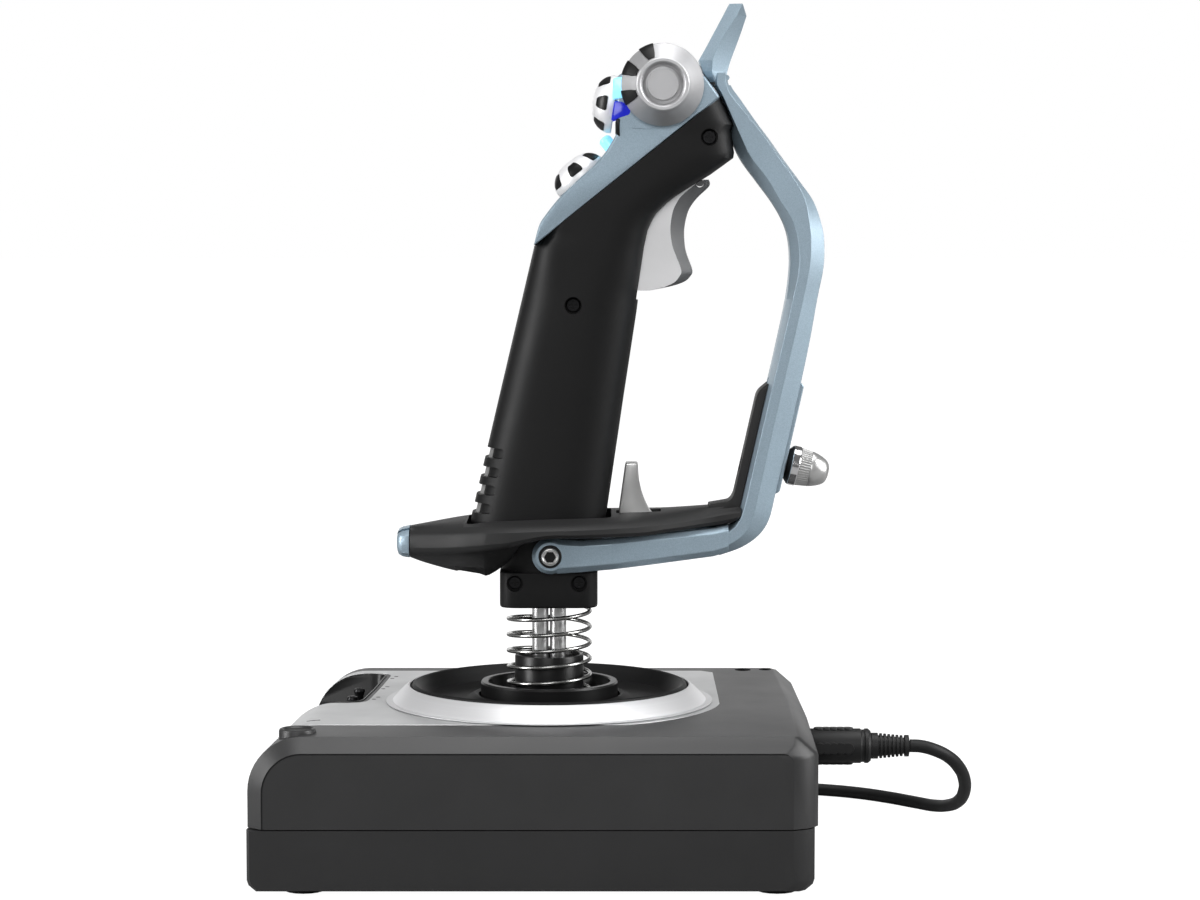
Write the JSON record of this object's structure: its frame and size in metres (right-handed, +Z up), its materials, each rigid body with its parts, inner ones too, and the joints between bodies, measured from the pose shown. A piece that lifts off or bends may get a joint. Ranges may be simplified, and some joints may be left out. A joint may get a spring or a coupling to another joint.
{
  "type": "flight joystick",
  "caption": "Desktop flight joystick: tilting and twisting grip on a sprung gimbal, hand frame with sliding hand rest, hat switches, trigger, dial, toggles and link cord.",
  "frame": {"origin": "on the desk, straight below the gimbal pivot, at the bottom centre of the object without its cord", "axes": "+Z up, +X to the front (away from the user), +Y to the user's left"},
  "size_m": [0.2614, 0.2654, 0.3096],
  "materials": {
    "black_plastic": "satin, fine grain",
    "grip_rubber": "soft-touch, satin",
    "cord_rubber": "satin",
    "blue_metal": "pale blue metallic paint, satin",
    "silver_metal": "satin",
    "chrome": "polished",
    "steel": "machined",
    "white_silver": "pearl silver, satin",
    "circuit_board": "green solder mask",
    "lit_cyan": "translucent, lit",
    "lit_blue": "translucent, lit"
  },
  "bodies": {
    "base": {"base_bottom_cover": "black_plastic", "base_top_housing": "black_plastic", "deck_plate": "silver_metal", "toggle_pocket": "black_plastic", "rubber_foot_1": "grip_rubber", "rubber_foot_2": "grip_rubber", "rubber_foot_3": "grip_rubber", "rubber_foot_4": "grip_rubber", "base_screw_1": "steel", "base_screw_2": "steel", "base_screw_3": "steel", "base_screw_4": "steel", "stick_bowl": "black_plastic", "bowl_skirt_ring": "silver_metal", "centring_cup": "black_plastic", "centring_spring": "chrome", "gimbal_cage": "steel", "pitch_sensor": "circuit_board", "main_circuit_board": "circuit_board", "ballast_plate": "steel", "link_socket": "black_plastic", "link_plug": "black_plastic", "strain_relief": "black_plastic", "link_cord": "cord_rubber", "link_cord_coil": "cord_rubber", "far_plug": "black_plastic"},
    "gimbal_pitch": {"gimbal_ring": "steel", "roll_sensor": "circuit_board"},
    "gimbal_roll": {"stick_sleeve": "black_plastic", "sleeve_end_cap": "black_plastic"},
    "stick": {"twist_core": "steel", "shaft_front": "chrome", "shaft_rear": "chrome", "neck_collar": "black_plastic", "grip_right_shell": "grip_rubber", "grip_left_shell": "grip_rubber", "head_cover": "blue_metal", "hand_frame": "blue_metal", "slot_plate": "blue_metal", "arm_bolt_right": "steel", "arm_bolt_left": "steel", "trigger_pin": "steel", "hat_light_ring": "lit_blue", "cover_hinge_pin": "steel"},
    "trigger": {"trigger": "white_silver"},
    "mode_dial": {"mode_dial": "silver_metal"},
    "upper_hat_rocker": {"upper_hat_rocker": "black_plastic"},
    "upper_hat": {"upper_hat_cap": "white_silver"},
    "lower_hat_rocker": {"lower_hat_rocker": "black_plastic"},
    "lower_hat": {"lower_hat_cap": "white_silver"},
    "fire_button": {"fire_button": "lit_cyan"},
    "launch_button": {"launch_button": "lit_cyan"},
    "safety_cover": {"safety_cover": "blue_metal"},
    "hand_rest": {"handrest_platform": "black_plastic", "rear_cap": "blue_metal"},
    "pinkie_lever": {"pinkie_lever": "chrome"},
    "lock_knob": {"lock_knob": "chrome"},
    "toggle_1": {"toggle_1": "silver_metal"},
    "toggle_2": {"toggle_2": "silver_metal"},
    "toggle_3": {"toggle_3": "silver_metal"}
  },
  "joints": [
    {"name": "stick_pitch", "type": "hinge", "parent": "base", "child": "gimbal_pitch", "pos_m": [0, 0, 0.04], "axis": [0, 1, 0], "range_deg": [-14, 14], "stiffness_Nm_per_rad": 5, "deforming": ["centring_spring"]},
    {"name": "stick_roll", "type": "hinge", "parent": "gimbal_pitch", "child": "gimbal_roll", "pos_m": [0, 0, 0.04], "axis": [1, 0, 0], "range_deg": [-14, 14], "stiffness_Nm_per_rad": 5, "deforming": ["centring_spring"]},
    {"name": "stick_twist", "type": "hinge", "parent": "gimbal_roll", "child": "stick", "pos_m": [0, 0, 0.04], "axis": [0, 0, 1], "range_deg": [-20, 20], "stiffness_Nm_per_rad": 1},
    {"name": "trigger_pull", "type": "hinge", "parent": "stick", "child": "trigger", "pos_m": [0.055, 0, 0.245], "axis": [0, 1, 0], "range_deg": [0, 8], "stiffness_Nm_per_rad": 0.6},
    {"name": "dial_turn", "type": "hinge", "parent": "stick", "child": "mode_dial", "pos_m": [0.0411, -0.02, 0.2801], "axis": [0, 1, 0], "range_deg": [-30, 30]},
    {"name": "upper_hat_rock", "type": "hinge", "parent": "stick", "child": "upper_hat_rocker", "pos_m": [0.0242, 0, 0.2734], "axis": [0, 1, 0], "range_deg": [-6, 6], "stiffness_Nm_per_rad": 0.08},
    {"name": "upper_hat_sway", "type": "hinge", "parent": "upper_hat_rocker", "child": "upper_hat", "pos_m": [0.0242, 0, 0.2734], "axis": [0.1392, 0, 0.9903], "range_deg": [-6, 6], "stiffness_Nm_per_rad": 0.08},
    {"name": "lower_hat_rock", "type": "hinge", "parent": "stick", "child": "lower_hat_rocker", "pos_m": [0.01194, 0, 0.24674], "axis": [0, 1, 0], "range_deg": [-6, 6], "stiffness_Nm_per_rad": 0.08},
    {"name": "lower_hat_sway", "type": "hinge", "parent": "lower_hat_rocker", "child": "lower_hat", "pos_m": [0.01194, 0, 0.24674], "axis": [0.7837, 0, 0.6211], "range_deg": [-6, 6], "stiffness_Nm_per_rad": 0.08},
    {"name": "fire_press", "type": "slide", "parent": "stick", "child": "fire_button", "axis": [0.6211, 0, -0.7837], "range_m": [0, 0.002], "stiffness_N_per_m": 400},
    {"name": "launch_press", "type": "slide", "parent": "stick", "child": "launch_button", "axis": [-0.7837, 0, -0.6211], "range_m": [0, 0.0012], "stiffness_N_per_m": 400},
    {"name": "cover_flip", "type": "hinge", "parent": "stick", "child": "safety_cover", "pos_m": [0.0643, 0, 0.2828], "axis": [0, 1, 0], "range_deg": [0, 60]},
    {"name": "rest_slide", "type": "slide", "parent": "stick", "child": "hand_rest", "axis": [0.2195, 0, 0.9756], "range_m": [0, 0.026]},
    {"name": "pinkie_press", "type": "hinge", "parent": "hand_rest", "child": "pinkie_lever", "pos_m": [0.0325, 0, 0.1213], "axis": [0, 1, 0], "range_deg": [-8, 0], "stiffness_Nm_per_rad": 0.4},
    {"name": "lock_turn", "type": "hinge", "parent": "hand_rest", "child": "lock_knob", "pos_m": [0.08768, 0, 0.1423], "axis": [0.9756, 0, -0.2195], "range_deg": [0, 180]},
    {"name": "toggle_1_tilt", "type": "hinge", "parent": "base", "child": "toggle_1", "pos_m": [-0.076, 0.01, 0.0446], "axis": [0, 1, 0], "range_deg": [-14, 14]},
    {"name": "toggle_2_tilt", "type": "hinge", "parent": "base", "child": "toggle_2", "pos_m": [-0.0748, 0.03, 0.0446], "axis": [0, 1, 0], "range_deg": [-14, 14]},
    {"name": "toggle_3_tilt", "type": "hinge", "parent": "base", "child": "toggle_3", "pos_m": [-0.0736, 0.05, 0.0446], "axis": [0, 1, 0], "range_deg": [-14, 14]}
  ]
}
